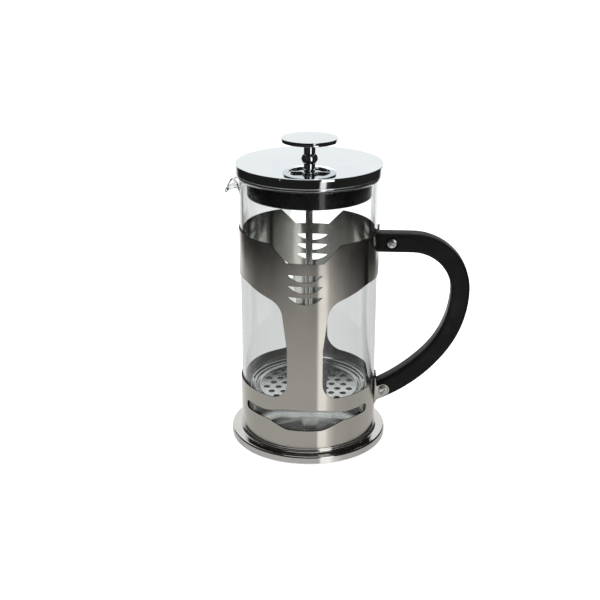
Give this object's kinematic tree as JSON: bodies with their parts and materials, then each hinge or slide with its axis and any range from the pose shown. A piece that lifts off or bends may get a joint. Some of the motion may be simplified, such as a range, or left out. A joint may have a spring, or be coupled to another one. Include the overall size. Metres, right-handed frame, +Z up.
{
  "type": "french press",
  "caption": "Cylindrical glass coffee press in a cut-out steel frame with a D handle, a domed steel lid and a sliding filter plunger.",
  "frame": {"origin": "centre of the pad's underside, on the beaker's axis, where the press stands on a table", "axes": "+Z up along the beaker's axis, +X towards the handle, -X towards the spout, -Y towards the front strut"},
  "size_m": [0.1735, 0.1146, 0.2251],
  "materials": {
    "base_steel": "polished pressed stainless steel",
    "frame_steel": "satin stainless sheet, bright edges",
    "lid_chrome": "mirror-polished",
    "fastener_steel": "turned, plated",
    "filter_steel": "pressed stainless, satin",
    "mesh_steel": "woven wire",
    "rod_steel": "polished rod",
    "black_plastic": "moulded, satin black",
    "handle_plastic": "moulded, matt black",
    "pad_rubber": "matt non-slip",
    "beaker_glass": "clear borosilicate",
    "insert_brass": "turned"
  },
  "bodies": {
    "holder": {"base_plate": "base_steel", "base_pad": "pad_rubber", "frame_sheet": "frame_steel", "handle": "handle_plastic", "upper_screw": "fastener_steel", "upper_nut": "fastener_steel", "lower_screw": "fastener_steel", "lower_nut": "fastener_steel"},
    "beaker": {"beaker": "beaker_glass"},
    "lid": {"lid_cap": "lid_chrome", "lid_ring": "black_plastic", "guide_bush": "lid_chrome", "bush_nut": "fastener_steel"},
    "plunger": {"plunger_rod": "rod_steel", "knob": "lid_chrome", "knob_insert": "insert_brass", "rod_collar": "filter_steel", "spiral_plate": "filter_steel", "edge_spring": "filter_steel", "mesh_screen": "mesh_steel", "cross_plate": "filter_steel", "hub_nut": "filter_steel"}
  },
  "joints": [
    {"name": "beaker_lift", "type": "slide", "parent": "holder", "child": "beaker", "axis": [0, 0, 1], "range_m": [0, 0.155]},
    {"name": "lid_lift", "type": "slide", "parent": "beaker", "child": "lid", "axis": [0, 0, 1], "range_m": [0, 0.17]},
    {"name": "plunger_slide", "type": "slide", "parent": "lid", "child": "plunger", "axis": [0, 0, 1], "range_m": [0, 0.137]}
  ]
}
